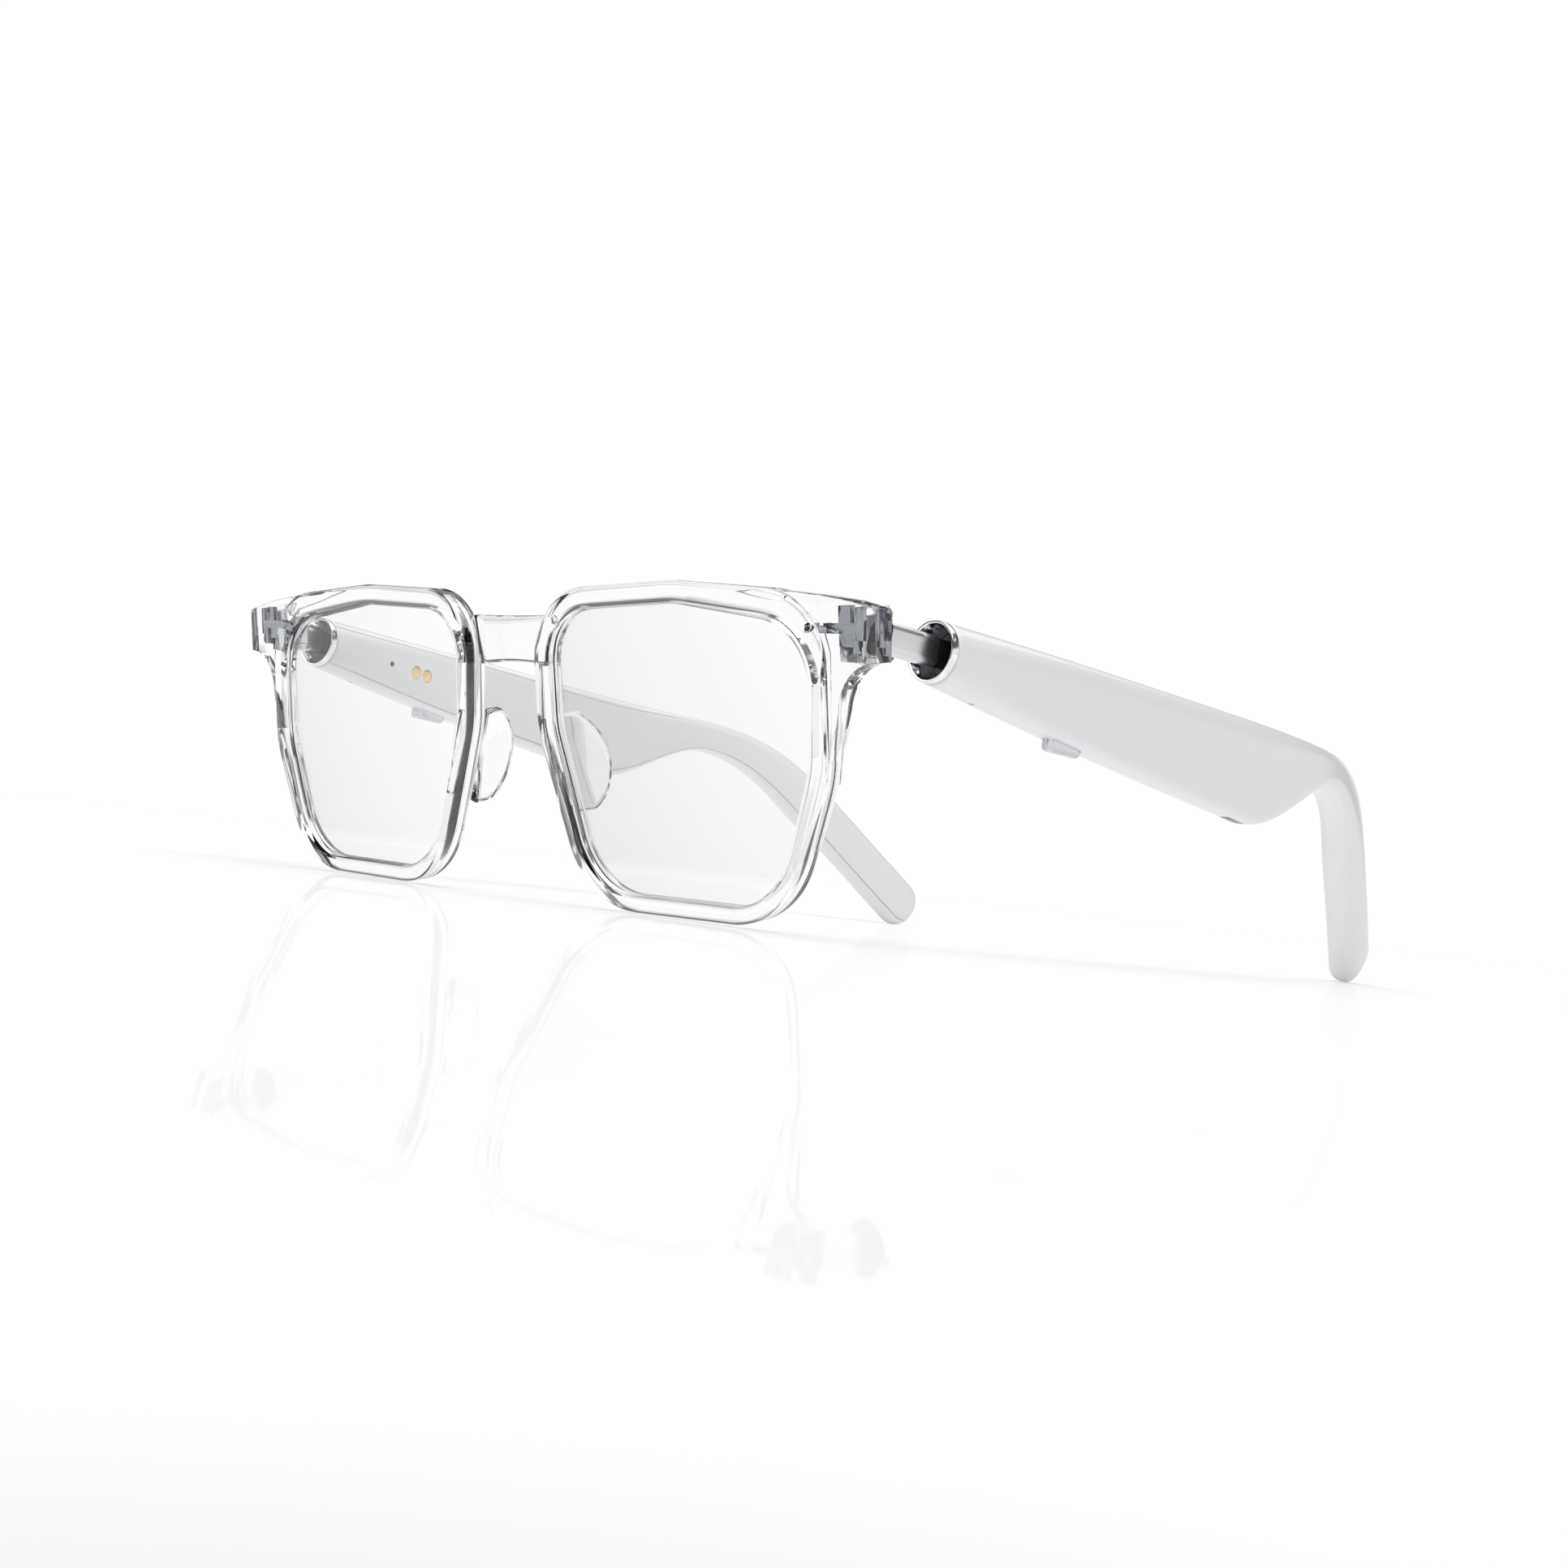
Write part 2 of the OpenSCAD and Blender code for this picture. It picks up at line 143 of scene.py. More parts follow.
# Standing pose: the rims' lower edge and the lowest point of the tips touch the floor
RIM_Y = (CIRCLES[-1][0] - WRAP_X) * math.sin(rad(WRAP))
FIRST = SLEEVE_L + STEP
RUN = ([RING_L, RING_L + 2.5, SLEEVE_L + 0.4, SLEEVE_L + 0.6]
       + [FIRST + STEP * i for i in range(int((TEMPLE_L - END_ROUND - 0.5 - FIRST) / STEP) + 1)]
       + [TEMPLE_L - END_ROUND * (1 - math.sin(rad(a))) for a in range(5, 76, 14)]
       + [TEMPLE_L - 0.1])


def around(a0, a1):
    return [section_point(s, rad(a), closing(s) * half_t(s), closing(s) * half_d(s))
            for s in RUN for a in range(a0, a1 + 1, 5)]


LEAN = max(math.atan2(-p[2], p[1] - RIM_Y) for p in around(210, 330))
COS, SIN = math.cos(LEAN), math.sin(LEAN)
BROW = math.hypot(math.tan(rad(WRAP)) * COS, SIN)
FIRST_CIRCLE = CIRCLES[0]
FRONT_Y = ((FIRST_CIRCLE[0] - WRAP_X) * math.tan(rad(WRAP)) * COS - FIRST_CIRCLE[1] * SIN
           - FIRST_CIRCLE[2] * BROW)
REAR_Y = max(p[1] * COS - p[2] * SIN for p in around(30, 150))
STAND = Matrix.Translation((0, -(FRONT_Y + REAR_Y) / 2, -RIM_Y * SIN)) @ Matrix.Rotation(LEAN, 4, "X")
TURN = (Matrix.Translation((WRAP_X, 0, 0)) @ Matrix.Rotation(rad(WRAP), 4, "Z")
        @ Matrix.Translation((-WRAP_X, 0, 0)))


def station(s, dz=0.0):
    """Matrix of a place along the temple: x across and outwards, y along, z up."""
    x, y, z = aside(s), ahead(s), above(s)
    o = (top_at(s) - RING_R * z if s < 0 else mid(s)) + dz * z
    return Matrix(((x[0], y[0], z[0], o[0]), (x[1], y[1], z[1], o[1]),
                   (x[2], y[2], z[2], o[2]), (0, 0, 0, 1)))


# ---------------------------------------------------------------- mesh helpers
def make(name, verts, faces, side=1, matrix=None):
    """A mesh from front-frame millimetres, mirrored for the right side and stood up."""
    me = bpy.data.meshes.new(name)
    m = STAND.copy()
    if side < 0:
        m = m @ Matrix.Scale(-1, 4, (1, 0, 0))
    if matrix is not None:
        m = m @ matrix
    pts = [(m @ Vector(v)) * MM for v in verts]
    me.from_pydata([tuple(p) for p in pts], [], faces)
    bm = bmesh.new()
    bm.from_mesh(me)
    bmesh.ops.remove_doubles(bm, verts=bm.verts, dist=1e-7)
    bmesh.ops.recalc_face_normals(bm, faces=bm.faces)
    bm.to_mesh(me)
    bm.free()
    ob = bpy.data.objects.new(name, me)
    bpy.context.scene.collection.objects.link(ob)
    return ob


def apply_modifiers(ob):
    dg = bpy.context.evaluated_depsgraph_get()
    me = bpy.data.meshes.new_from_object(ob.evaluated_get(dg))
    ob.modifiers.clear()
    ob.data = me
    return ob


def smooth(ob, angle=35.0):
    for p in ob.data.polygons:
        p.use_smooth = True
    ob.data.set_sharp_from_angle(angle=rad(angle))
    return ob


def flat_plates(ob, corners=40):
    """Large plane faces shade flat, so that they refract and reflect as planes."""
    for p in ob.data.polygons:
        if len(p.vertices) > corners:
            p.use_smooth = False
    return ob


def bevel(ob, width, segments=3, angle=30.0):
    m = ob.modifiers.new("bevel", "BEVEL")
    m.width, m.segments, m.limit_method = width * MM, segments, "ANGLE"
    m.angle_limit, m.harden_normals = rad(angle), False
    m.use_clamp_overlap = True
    return apply_modifiers(ob)


def boolean(ob, other, kind):
    m = ob.modifiers.new("join", "BOOLEAN")
    m.operation, m.solver, m.object = kind, "EXACT", other
    apply_modifiers(ob)
    bpy.data.objects.remove(other)
    return ob


def dress(ob, body, slot, mat, *nodes):
    ob.data.materials.clear()
    ob.data.materials.append(mat)
    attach(ob, body)
    if nodes:
        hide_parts(*nodes)
    return ob


def loft(rings, close_ring=True, caps=True):
    """Vertices and faces of a skin over rings that all have the same number of points."""
    n = len(rings[0])
    verts = [tuple(p) for r in rings for p in r]
    faces = []
    for j in range(len(rings) - 1):
        for i in range(n if close_ring else n - 1):
            a, b = j * n + i, j * n + (i + 1) % n
            faces.append((a, b, b + n, a + n))
    if caps:
        faces.append(tuple(range(n))[::-1])
        faces.append(tuple(range((len(rings) - 1) * n, len(rings) * n)))
    return verts, faces


def lathe(profile, n=96):
    """Rings about the Y axis from (radius, y) points, closed round the profile as well."""
    verts, faces, m = [], [], len(profile)
    for i in range(n):
        a = 2 * math.pi * i / n
        verts += [(r * math.cos(a), y, r * math.sin(a)) for r, y in profile]
    for i in range(n):
        for k in range(m):
            a, b = i * m + k, i * m + (k + 1) % m
            c, d = ((i + 1) % n) * m + (k + 1) % m, ((i + 1) % n) * m + k
            faces.append((a, b, c, d))
    return verts, faces


def prism(outline, y0, y1):
    """A plate between y0 and y1 from (x, z) points."""
    n = len(outline)
    verts = [(x, y0, z) for x, z in outline] + [(x, y1, z) for x, z in outline]
    faces = [tuple(range(n)), tuple(range(2 * n - 1, n - 1, -1))]
    faces += [(i, (i + 1) % n, n + (i + 1) % n, n + i) for i in range(n)]
    return verts, faces


def block(x0, x1, y0, y1, z0, z1):
    return prism(((x0, z0), (x1, z0), (x1, z1), (x0, z1)), y0, y1)


def round_rect(w, h, r, n=8):
    pts = []
    for cx, cz, a0 in ((1, 1, 0), (-1, 1, 90), (-1, -1, 180), (1, -1, 270)):
        for k in range(n + 1):
            a = rad(a0 + 90 * k / n)
            pts.append((cx * (w / 2 - r) + r * math.cos(a), cz * (h / 2 - r) + r * math.sin(a)))
    return pts


def disc(r, step):
    return [(r * math.cos(rad(a)), r * math.sin(rad(a))) for a in range(0, 360, step)]


def rim_outline(inset, n=240):
    """The rim's outline moved inwards: the support points of its circles, one per direction."""
    out = []
    c = CIRCLES.astype(float)
    c[OUTER_CORNER] += inset / BAND * CORNER_EASE
    r = c[:, 2] - inset * np.where(np.arange(len(c)) < LOW_ROW, 1, BAND_LOW / BAND)
    for k in range(n):
        a = 2 * math.pi * k / n
        d = np.array((math.cos(a), math.sin(a)))
        j = int(np.argmax(c[:, :2] @ d + r))
        out.append(tuple(c[j, :2] + r[j] * d))
    return out


# ---------------------------------------------------------------- materials
def material(name, **values):
    mat = bpy.data.materials.new(name)
    mat.use_nodes = True
    b = mat.node_tree.nodes["Principled BSDF"]
    for key, v in values.items():
        b.inputs[key.replace("_", " ")].default_value = v
    return mat, mat.node_tree, b


def noise(nt, scale, detail=4.0):
    tc = nt.nodes.new("ShaderNodeTexCoord")
    n = nt.nodes.new("ShaderNodeTexNoise")
    n.inputs["Scale"].default_value = scale
    n.inputs["Detail"].default_value = detail
    nt.links.new(tc.outputs["Object"], n.inputs["Vector"])
    return n


def spread(nt, source, low, high, target):
    m = nt.nodes.new("ShaderNodeMapRange")
    m.inputs["From Min"].default_value, m.inputs["From Max"].default_value = 0.3, 0.7
    m.inputs["To Min"].default_value, m.inputs["To Max"].default_value = low, high
    nt.links.new(source, m.inputs["Value"])
    nt.links.new(m.outputs["Result"], target)


def bumped(nt, b, source, strength, distance):
    u = nt.nodes.new("ShaderNodeBump")
    u.inputs["Strength"].default_value, u.inputs["Distance"].default_value = strength, distance
    nt.links.new(source, u.inputs["Height"])
    nt.links.new(u.outputs["Normal"], b.inputs["Normal"])


def clear_material(name, tint, ior, rough, shade):
    """Clear moulding: refracts for the eye, lets most light through for shadows."""
    mat, nt, b = material(name, Base_Color=tint, Transmission_Weight=1.0, IOR=ior, Roughness=rough)
    spread(nt, noise(nt, 900).outputs["Fac"], rough, rough + 0.015, b.inputs["Roughness"])
    out = nt.nodes["Material Output"]
    lp, tr, mix = (nt.nodes.new("ShaderNodeLightPath"), nt.nodes.new("ShaderNodeBsdfTransparent"),
                   nt.nodes.new("ShaderNodeMixShader"))
    tr.inputs["Color"].default_value = (shade, shade, shade, 1)
    nt.links.new(lp.outputs["Is Shadow Ray"], mix.inputs["Fac"])
    nt.links.new(b.outputs["BSDF"], mix.inputs[1])
    nt.links.new(tr.outputs["BSDF"], mix.inputs[2])
    nt.links.new(mix.outputs["Shader"], out.inputs["Surface"])
    return mat


def brushed(name, colour, low, high, stretch, dent=0.01):
    mat, nt, b = material(name, Base_Color=(*colour, 1), Metallic=1.0)
    tc, mp = nt.nodes.new("ShaderNodeTexCoord"), nt.nodes.new("ShaderNodeMapping")
    mp.inputs["Scale"].default_value = stretch
    n = nt.nodes.new("ShaderNodeTexNoise")
    n.inputs["Scale"].default_value, n.inputs["Detail"].default_value = 1.0, 3.0
    nt.links.new(tc.outputs["Object"], mp.inputs["Vector"])
    nt.links.new(mp.outputs["Vector"], n.inputs["Vector"])
    spread(nt, n.outputs["Fac"], low, high, b.inputs["Roughness"])
    if dent:
        bumped(nt, b, n.outputs["Fac"], dent, 0.000004)
    return mat


def plastic(name, colour, low, high, grain, coat=0.0, dimple=0.05):
    mat, nt, b = material(name, Base_Color=(*colour, 1), Coat_Weight=coat, Coat_Roughness=0.04)
    n = noise(nt, grain)
    spread(nt, n.outputs["Fac"], low, high, b.inputs["Roughness"])
    if dimple:
        bumped(nt, b, n.outputs["Fac"], dimple, 0.00003)
    return mat


def painted_shade_grade(mat, start, low, high):
    """Painted shade: a grey that grows lighter upwards and towards the wearer's left, from start in X.
    """
    nt = mat.node_tree
    b = nt.nodes["Principled BSDF"]
    tc, sep = nt.nodes.new("ShaderNodeTexCoord"), nt.nodes.new("ShaderNodeSeparateXYZ")
    m, mix = nt.nodes.new("ShaderNodeMapRange"), nt.nodes.new("ShaderNodeMixRGB")
    m.inputs["From Min"].default_value, m.inputs["From Max"].default_value = start, start + 0.058
    height = nt.nodes.new("ShaderNodeMath")
    height.operation = "MULTIPLY_ADD"
    height.inputs[1].default_value = 0.5
    nt.links.new(tc.outputs["Object"], sep.inputs["Vector"])
    nt.links.new(sep.outputs["Z"], height.inputs[0])
    nt.links.new(sep.outputs["X"], height.inputs[2])
    nt.links.new(height.outputs["Value"], m.inputs["Value"])
    nt.links.new(m.outputs["Result"], mix.inputs["Fac"])
    mix.inputs["Color1"].default_value, mix.inputs["Color2"].default_value = low, high
    nt.links.new(mix.outputs["Color"], b.inputs["Base Color"])
    return mat


CLEAR = clear_material("clear_frame", (0.985, 0.99, 0.995, 1), 1.49, 0.0, 0.25)
PAD = clear_material("clear_pad", (0.975, 0.98, 0.985, 1), 1.42, 0.02, 0.86)
# the lenses' base colour carries painted shade: darker downwards and towards the wearer's right
LENSES = {name: painted_shade_grade(clear_material("lens_" + name, (0.93, 0.935, 0.94, 1), 1.5, 0.0, 0.93),
                       start, (0.82, 0.822, 0.83, 1), (0.99, 0.99, 0.99, 1))
          for name, start in (("left", 0.012), ("right", -0.06))}
STEEL = brushed("hinge_steel", (0.33, 0.34, 0.37), 0.04, 0.1, (600, 90, 90))
SATIN = brushed("satin_steel", (0.74, 0.75, 0.76), 0.27, 0.29, (900, 120, 900), 0)
CHROME = brushed("chrome", (0.88, 0.89, 0.91), 0.03, 0.07, (300, 300, 300))
BUTTON = brushed("button_chrome", (0.62, 0.63, 0.65), 0.08, 0.14, (300, 300, 300), 0)
GOLD = brushed("gold", (0.83, 0.62, 0.33), 0.18, 0.28, (2600, 2600, 2600))
WHITE = plastic("white_shell", (0.8, 0.81, 0.82), 0.28, 0.288, 900, 0.35, 0)
BLACK = plastic("black_plastic", (0.009, 0.009, 0.01), 0.34, 0.4, 2500, 0, 0.006)
RUBBER = plastic("black_rubber", (0.015, 0.015, 0.017), 0.5, 0.65, 3000)
WINDOW = plastic("sensor_window", (0.01, 0.01, 0.014), 0.06, 0.1, 1500, 0.6)
BOARD = plastic("board", (0.03, 0.16, 0.07), 0.4, 0.55, 2000)
CAN = brushed("cell_can", (0.55, 0.56, 0.58), 0.3, 0.4, (200, 1400, 1400))
FILM = plastic("film", (0.5, 0.26, 0.05), 0.3, 0.4, 1500)
GRILLE = brushed("grille", (0.1, 0.1, 0.11), 0.3, 0.45, (2000, 2000, 2000))

# ---------------------------------------------------------------- front moulding
def rim_body(side):
    """A rim as a closed sweep of a rounded section, with a groove for the lens."""
    section = [(0.0, 0.75), (0.07, 0.4), (0.28, 0.14), (0.62, 0.0), (2.3, 0.0), (2.62, 0.1),
               (3.14, 0.42), (3.2, 0.95), (2.5, 0.95), (2.5, 2.85), (3.2, 2.9), (3.2, 3.35),
               (3.0, 3.68), (2.65, 3.8), (0.7, 3.8), (0.3, 3.68), (0.08, 3.4), (0.0, 3.05)]
    rings = [[(x, y, z) for x, z in rim_outline(inset)] for inset, y in section]
    n, m = len(rings[0]), len(rings)
    verts = [p for r in rings for p in r]
    faces = [(j * n + i, j * n + (i + 1) % n, ((j + 1) % m) * n + (i + 1) % n, ((j + 1) % m) * n + i)
             for j in range(m) for i in range(n)]
    return make("rim", verts, faces, side, TURN)


def end_body(side):
    x, z, r = FLARE
    curve = [(x + r * math.cos(rad(a)), z + r * math.sin(rad(a))) for a in range(90, 181, 9)]
    pts = ([(38, 45.35), (46, 45.1), (51, 44.85), (56, 44.45), (61, 43.95), (66, 43.2), (HALF_W, 42.2),
            (HALF_W, 35.4)] 
           + curve + [(63.3, 27.2), (62.6, 25.3), (62.1, 22.8), (61.5, 19.5), (60.6, 19.5), (60.9, 28.2),
                      (61.1, 36.5), (60.0, 39.8), (56.5, 42.3), (46, 44.2)])
    ob = make("end", *prism(pts, END_BACK, END_REAR), side, TURN)
    return bevel(ob, 0.42, 3, 40)


def bridge_body():
    z, r = BRIDGE_ARC
    arc = [(r * math.sin(rad(a)), z + r * math.cos(rad(a))) for a in np.linspace(-8, 8, 17)]
    top = [(x, 41.5 - 0.15 * (1 - (x / 9.6) ** 2)) for x in np.linspace(9.6, -9.6, 13)]
    ob = make("bridge", *prism(arc + top, BRIDGE_BACK, BRIDGE_BACK + BRIDGE_T))
    return bevel(ob, 0.5, 4, 40)


front = rim_body(1)
for piece in (end_body(1), rim_body(-1), end_body(-1), bridge_body()):
    boolean(front, piece, "UNION")
front.name = "front_clear"
smooth(front, 32)
dress(front, "front", "frame_clear", CLEAR, "front_frame")

# lenses: thin plates with a ground edge
for side_name, side in SIDES:
    rings = [[(x, y, z) for x, z in rim_outline(inset)]
             for inset, y in ((3.0, 1.0), (2.66, 1.1), (2.62, 1.9), (2.66, 2.7), (3.0, 2.8))]
    lens = flat_plates(smooth(make("lens_plate_" + side_name, *loft(rings), side, TURN), 60))
    dress(lens, "front", "lens_glass", LENSES[side_name], "lens_" + side_name)


def refine(node, width, mat, slot, body, segments):
    """A node's shape with its edges rounded."""
    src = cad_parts[node]
    ob = bpy.data.objects.new("fine_" + node, src.data.copy())
    bpy.context.scene.collection.objects.link(ob)
    bm = bmesh.new()
    bm.from_mesh(ob.data)
    bmesh.ops.remove_doubles(bm, verts=bm.verts, dist=2e-6)
    bmesh.ops.dissolve_limit(bm, angle_limit=rad(1.5), verts=bm.verts, edges=bm.edges)
    bm.to_mesh(ob.data)
    bm.free()
    bevel(ob, width, segments, 35)
    smooth(ob, 35)
    return dress(ob, body, slot, mat, node)


# node, edge radius, material, slot and segments of the nodes that only get rounded edges
FRONT_NODES = (("nose_pad", 0.55, PAD, "pad_clear", 4), ("hinge_fork", 0.14, SATIN, "satin_steel", 3),
               ("hinge_pin", 0.1, CHROME, "ring_chrome", 3),
               ("hinge_anchor", 0.1, STEEL, "hinge_steel", 2))
TEMPLE_NODES = (("hinge_arm", 0.16, SATIN, "satin_steel", 3),
                ("arm_buffer", 0.12, RUBBER, "black_rubber", 3),
                ("plug", 0.12, BLACK, "black_plastic", 3),
                ("socket_liner", 0.1, BLACK, "black_plastic", 3),
                ("battery", 0.4, CAN, "cell_can", 3), ("circuit_board", 0.08, BOARD, "board_green", 3),
                ("speaker", 0.3, BLACK, "black_plastic", 3),
                ("speaker_grille", 0.1, GRILLE, "grille_mesh", 3),
                ("microphone", 0.1, GOLD, "board_gold", 3),
                ("wear_sensor", 0.08, WINDOW, "sensor_window", 3),
                ("charging_contacts", 0.12, GOLD, "board_gold", 3),
                ("button_switch", 0.1, BLACK, "black_plastic", 3),
                ("flex_cable", 0.03, FILM, "cable_film", 1), ("tip_core", 0.1, STEEL, "hinge_steel", 1))

for side_name, side in SIDES:
    temple = side_name + "_temple"
    for body, nodes in (("front", FRONT_NODES), (temple, TEMPLE_NODES)):
        for name, width, mat, slot, segments in nodes:
            refine(name + "_" + side_name, width, mat, slot, body, segments)

    # chrome ring with a rolled lip
    lip = [(3.62, 7.0), (3.36, 7.0), (3.36, 1.12), (3.74, 0.42), (3.76, 0.22), (3.82, 0.08),
           (3.92, 0.0), (4.05, 0.02), (4.15, 0.1), (4.2, 0.24), (4.2, 1.0), (4.14, 1.14),
           (4.0, 1.21), (3.62, 1.23)]
    ring = smooth(make("ring_" + side_name, *lathe(lip), side, station(0)), 30)
    dress(ring, temple, "ring_chrome", CHROME, "ring_collar_" + side_name)

    # button: a pill with a domed end
    under = half_d(BUTTON_S)
    downwards = station(BUTTON_S) @ Matrix.Rotation(rad(-90), 4, "X")
    rings = [[(x, under + y, z) for x, z in round_rect(PILL_W - 2 * inset, PILL_L - 2 * inset,
                                                       1.09 - inset, 10)]
             for inset, y in ((0.0, -1.98), (0.0, 0.7), (0.06, 0.95), (0.2, 1.14), (0.42, 1.25),
                              (0.75, BUTTON_OUT))]
    cap = make("button_cap_" + side_name, *loft(rings), side, downwards)
    dress(smooth(cap, 40), side_name + "_button", "button_metal", BUTTON, "button_" + side_name)

    # temple shell and inner cover, lofted finely with rounded seam edges
    steps = [RING_L, RING_L + 0.08, RING_L + 0.25] + list(np.arange(RING_L + 1, SLEEVE_L + 0.4, 1.0))
    steps += [SLEEVE_L + 0.4, SLEEVE_L + 0.6]
    steps += list(np.arange(8.0, TEMPLE_L - END_ROUND, 1.0))
    steps += [TEMPLE_L - END_ROUND * (1 - math.sin(rad(a))) for a in range(4, 89, 6)]

    def skin(a0, a1, n):
        rings = []
        for s in steps:
            c = closing(s)
            start = RING_L + 0.25 - s
            shrink = 0.22 * (max(0.0, start) / 0.25) ** 2
            hx, hz = c * half_t(s) - shrink, c * half_d(s) - shrink
            ix, iz = c * c * max(0.9, half_t(s) - WALL), c * c * max(1.5, half_d(s) - WALL)
            hollow = mid(s)
            if s < SLEEVE_L + 0.5:
                ix = iz = SLEEVE_R + 0.1
                hollow = top_at(s) - RING_R * above(s)
            outer = []
            for k in range(n + 1):
                u = k / n
                t = a0 + (a1 - a0) * u
                edge = min(u, 1 - u) * (a1 - a0) * half_d(s)
                dip = 0.14 * max(0.0, 1 - edge / 0.22) ** 2
                outer.append(section_point(s, t, hx - dip, hz - dip))
            inner = [section_point(s, a0 + (a1 - a0) * k / 16, ix, iz, hollow)
                     for k in range(16, -1, -1)]
            rings.append(outer + inner)
        return loft(rings)

    edge_a, edge_b = rad(180 - LIP - SEAM), rad(180 - LIP + SEAM)
    shell = make("shell_" + side_name, *skin(-edge_a, edge_a, 110), side)
    cover = make("cover_" + side_name, *skin(edge_b, 2 * math.pi - edge_b, 44), side)
    hole = make("cut", *prism(disc(0.45, 15), 0, 8), side,
                station(MIC_S) @ Matrix.Rotation(rad(-90), 4, "X"))
    boolean(shell, hole, "DIFFERENCE")
    slot_cut = make("cut", *block(-0.85, 0.85, -3.6, 3.6, -9, -4), side, station(SPEAKER_S))
    boolean(shell, bevel(slot_cut, 0.4, 3, 40), "DIFFERENCE")
    pill = round_rect(PILL_W + 0.2, PILL_L + 0.2, 1.2, 10)
    boolean(shell, make("cut", *prism(pill, 0, 9), side, downwards), "DIFFERENCE")
    for s, r in ((CONTACTS_S[0], 1.15), (CONTACTS_S[1], 1.15), (SENSOR_S, 0.5)):
        cut = make("cut", *prism(disc(r, 10), 0, 4), side,
                   station(s) @ Matrix.Translation((-2, 0, 0)) @ Matrix.Rotation(rad(90), 4, "Z"))
        boolean(cover, cut, "DIFFERENCE")
    smooth(shell, 38)
    smooth(cover, 38)
    dress(shell, temple, "white_gloss", WHITE, "temple_shell_" + side_name)
    dress(cover, temple, "white_gloss", WHITE, "inner_cover_" + side_name)

# ---------------------------------------------------------------- floor, light, camera
def grey_stops(node, points):
    """Sets a colour ramp to greys from (position, value) pairs, in rising order."""
    stops = node.color_ramp.elements
    for stop, (pos, val) in ((stops[0], points[0]), (stops[1], points[-1])):
        stop.position, stop.color = pos, (val, val, val, 1)
    for pos, val in points[1:-1]:
        stops.new(pos).color = (val, val, val, 1)


scene = bpy.context.scene
bpy.ops.mesh.primitive_plane_add(size=6, location=(0, 0, -0.00002))
floor = bpy.context.object
floor.name = "floor"
mat = bpy.data.materials.new("floor_white")
mat.use_nodes = True
nt = mat.node_tree
nt.nodes.remove(nt.nodes["Principled BSDF"])
dif, glo, mix = (nt.nodes.new("ShaderNodeBsdfDiffuse"), nt.nodes.new("ShaderNodeBsdfGlossy"),
                 nt.nodes.new("ShaderNodeMixShader"))
dif.inputs["Color"].default_value = (0.62, 0.62, 0.62, 1)
glo.inputs["Roughness"].default_value = 0.03
mix.inputs["Fac"].default_value = 0.2
nt.links.new(dif.outputs["BSDF"], mix.inputs[1])
nt.links.new(glo.outputs["BSDF"], mix.inputs[2])
glow, both = nt.nodes.new("ShaderNodeEmission"), nt.nodes.new("ShaderNodeAddShader")
# the glow grows with the distance, so that the floor ends in the white of the backdrop
tc, reach, grow = (nt.nodes.new("ShaderNodeTexCoord"), nt.nodes.new("ShaderNodeVectorMath"),
                   nt.nodes.new("ShaderNodeMapRange"))
reach.operation = "LENGTH"
for key, v in (("From Min", 0.1), ("From Max", 1.0), ("To Min", 0.285), ("To Max", 0.48)):
    grow.inputs[key].default_value = v
nt.links.new(tc.outputs["Object"], reach.inputs[0])
nt.links.new(reach.outputs["Value"], grow.inputs["Value"])
nt.links.new(grow.outputs["Result"], glow.inputs["Strength"])
nt.links.new(mix.outputs["Shader"], both.inputs[0])
nt.links.new(glow.outputs["Emission"], both.inputs[1])
nt.links.new(both.outputs["Shader"], nt.nodes["Material Output"].inputs["Surface"])
floor.data.materials.append(mat)

world = bpy.data.worlds.new("studio")
scene.world = world
world.use_nodes = True
nt = world.node_tree
bg = nt.nodes["Background"]
tc, sep = nt.nodes.new("ShaderNodeTexCoord"), nt.nodes.new("ShaderNodeSeparateXYZ")
nt.links.new(tc.outputs["Generated"], sep.inputs["Vector"])
ramp_node = nt.nodes.new("ShaderNodeValToRGB")
grey_stops(ramp_node, ((0.0, 0.9), (0.25, 0.5), (0.42, 0.95), (0.60, 1.0), (0.66, 0.15), (0.76, 0.12),
                       (0.82, 1.3), (1.0, 1.0)))
half = nt.nodes.new("ShaderNodeMath")
half.operation = "MULTIPLY_ADD"
half.inputs[1].default_value, half.inputs[2].default_value = 0.5, 0.5
nt.links.new(sep.outputs["Z"], half.inputs[0])
nt.links.new(half.outputs["Value"], ramp_node.inputs["Fac"])
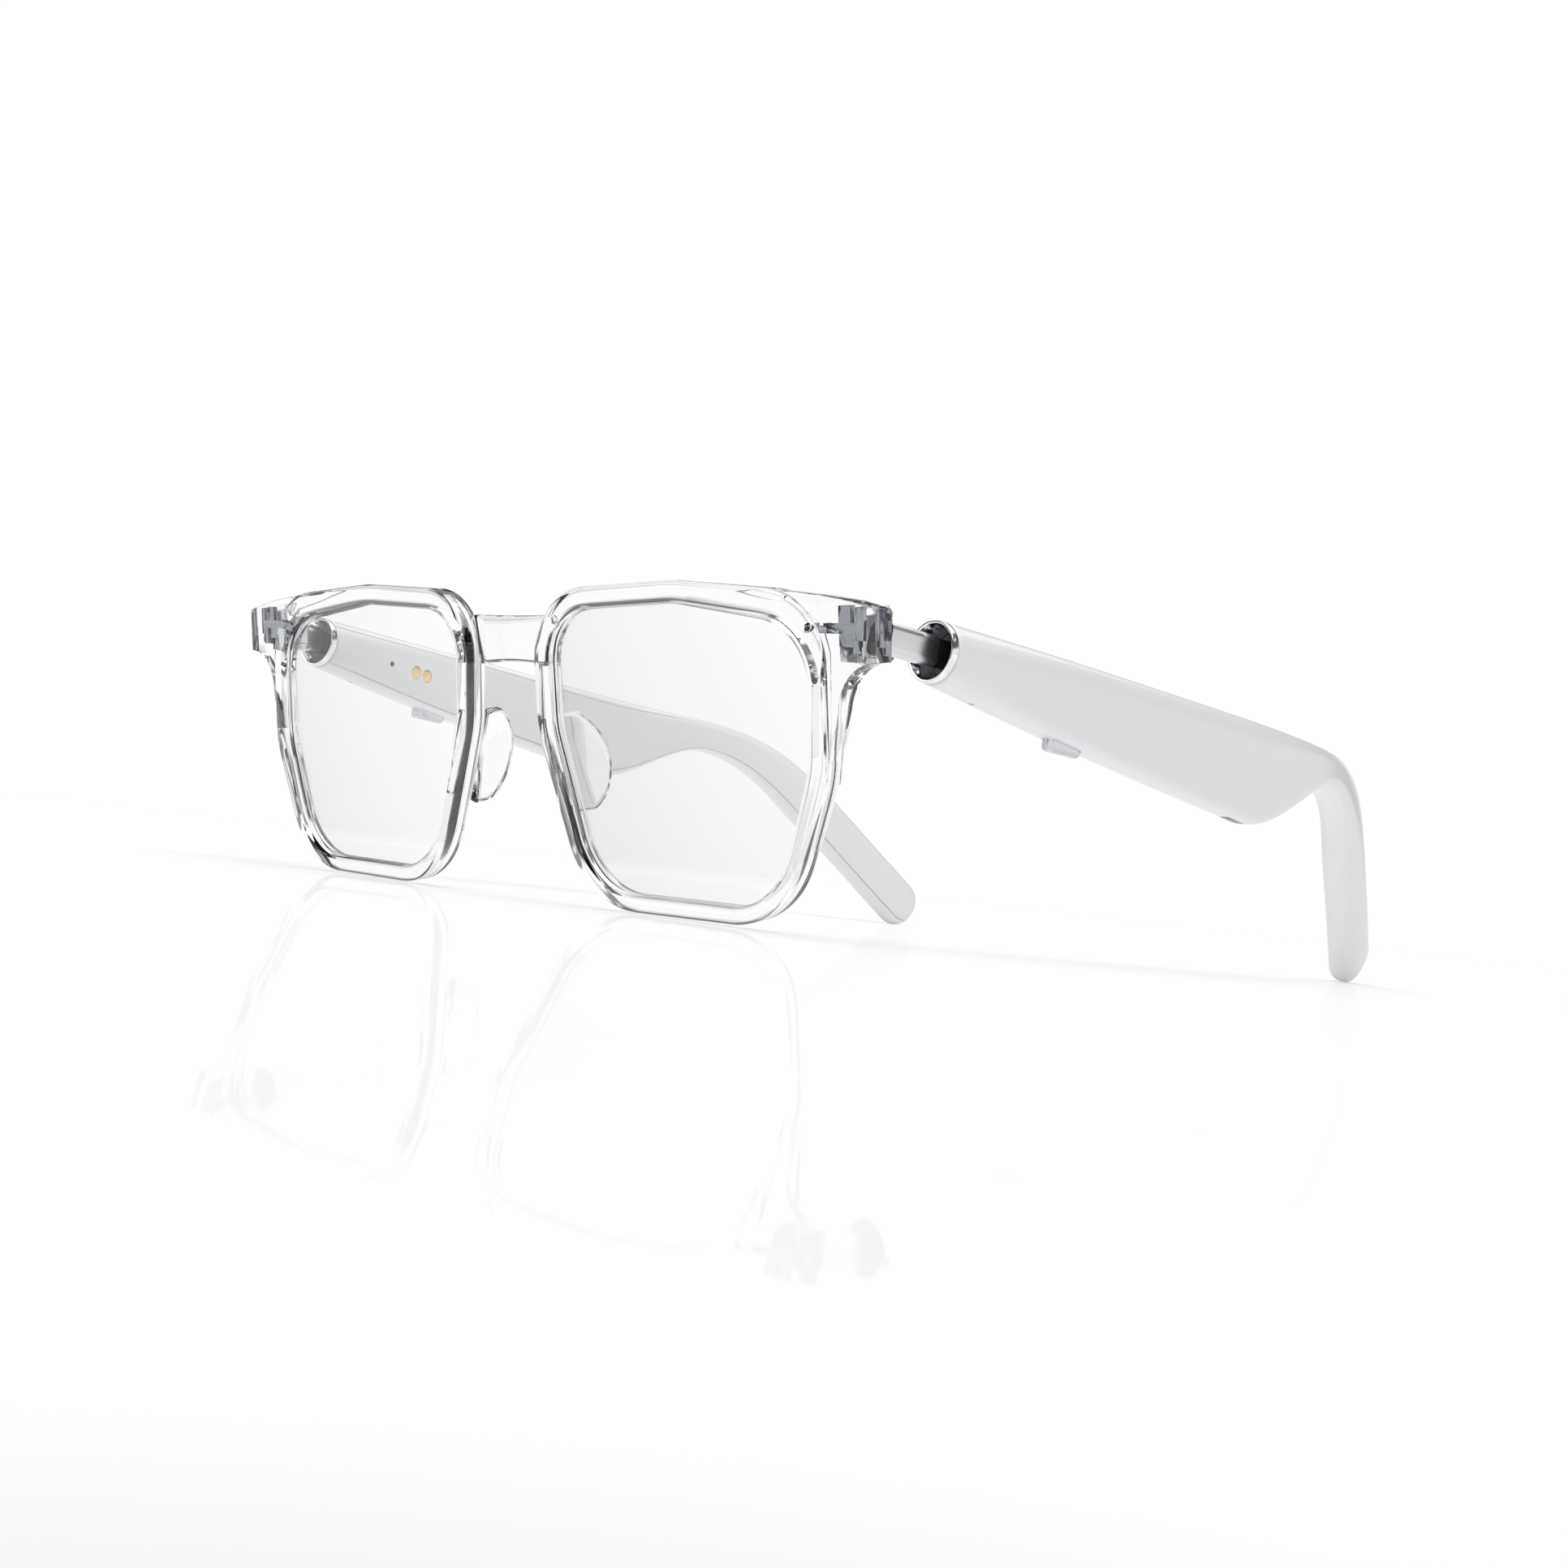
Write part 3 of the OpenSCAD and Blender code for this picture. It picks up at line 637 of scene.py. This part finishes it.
# dark upright flags at both sides of the backdrop, which draw the edges of the clear parts
flag = nt.nodes.new("ShaderNodeVectorMath")
flag.operation = "DOT_PRODUCT"
flag.inputs[1].default_value = (math.cos(rad(43)), math.sin(rad(43)), 0)
nt.links.new(tc.outputs["Generated"], flag.inputs[0])
far = nt.nodes.new("ShaderNodeMath")
far.operation = "ABSOLUTE"
nt.links.new(flag.outputs["Value"], far.inputs[0])
sides = nt.nodes.new("ShaderNodeValToRGB")
grey_stops(sides, ((0.0, 1.0), (0.56, 1.0), (0.62, 0.16), (0.74, 0.16), (0.8, 0.95), (1.0, 0.9)))
nt.links.new(far.outputs["Value"], sides.inputs["Fac"])
shaded = nt.nodes.new("ShaderNodeMixRGB")
shaded.blend_type = "MULTIPLY"
shaded.inputs["Fac"].default_value = 1.0
nt.links.new(ramp_node.outputs["Color"], shaded.inputs["Color1"])
nt.links.new(sides.outputs["Color"], shaded.inputs["Color2"])
lp, pick = nt.nodes.new("ShaderNodeLightPath"), nt.nodes.new("ShaderNodeMixRGB")
nt.links.new(lp.outputs["Is Camera Ray"], pick.inputs["Fac"])
nt.links.new(shaded.outputs["Color"], pick.inputs["Color1"])
pick.inputs["Color2"].default_value = (1.05, 1.05, 1.05, 1)
nt.links.new(pick.outputs["Color"], bg.inputs["Color"])
bg.inputs["Strength"].default_value = 1.0


light = bpy.data.lights.new("overhead", "AREA")
light.shape, light.size, light.size_y, light.energy = "RECTANGLE", 0.9, 0.9, 4.5
lamp = bpy.data.objects.new("overhead", light)
scene.collection.objects.link(lamp)
lamp.location = (0.1, -0.1, 0.9)
lamp.rotation_euler = (-Vector(lamp.location)).to_track_quat("-Z", "Y").to_euler()
lamp.visible_camera = False

CAM = Vector((251.48, -204.28, 46.85))
AZ, EL, ROLL, FOCAL = rad(43.58), rad(5.47), rad(0.94), 2710 / 1932
fwd = Vector((-math.sin(AZ) * math.cos(EL), math.cos(AZ) * math.cos(EL), -math.sin(EL)))
right = fwd.cross(Vector((0, 0, 1))).normalized()
down = fwd.cross(right).normalized()
r2 = math.cos(ROLL) * right + math.sin(ROLL) * down
d2 = -math.sin(ROLL) * right + math.cos(ROLL) * down
turn = STAND.to_3x3()
cam_data = bpy.data.cameras.new("camera")
cam = bpy.data.objects.new("camera", cam_data)
scene.collection.objects.link(cam)
basis = Matrix((turn @ r2, turn @ -d2, turn @ -fwd)).transposed()
cam.matrix_world = Matrix.Translation((STAND @ CAM) * MM) @ basis.to_4x4()
cam_data.sensor_width = 36
cam_data.lens = 36 * FOCAL
cam_data.clip_start, cam_data.clip_end = 0.005, 20
scene.camera = cam
scene.view_settings.view_transform = "Standard"
scene.view_settings.look = "None"
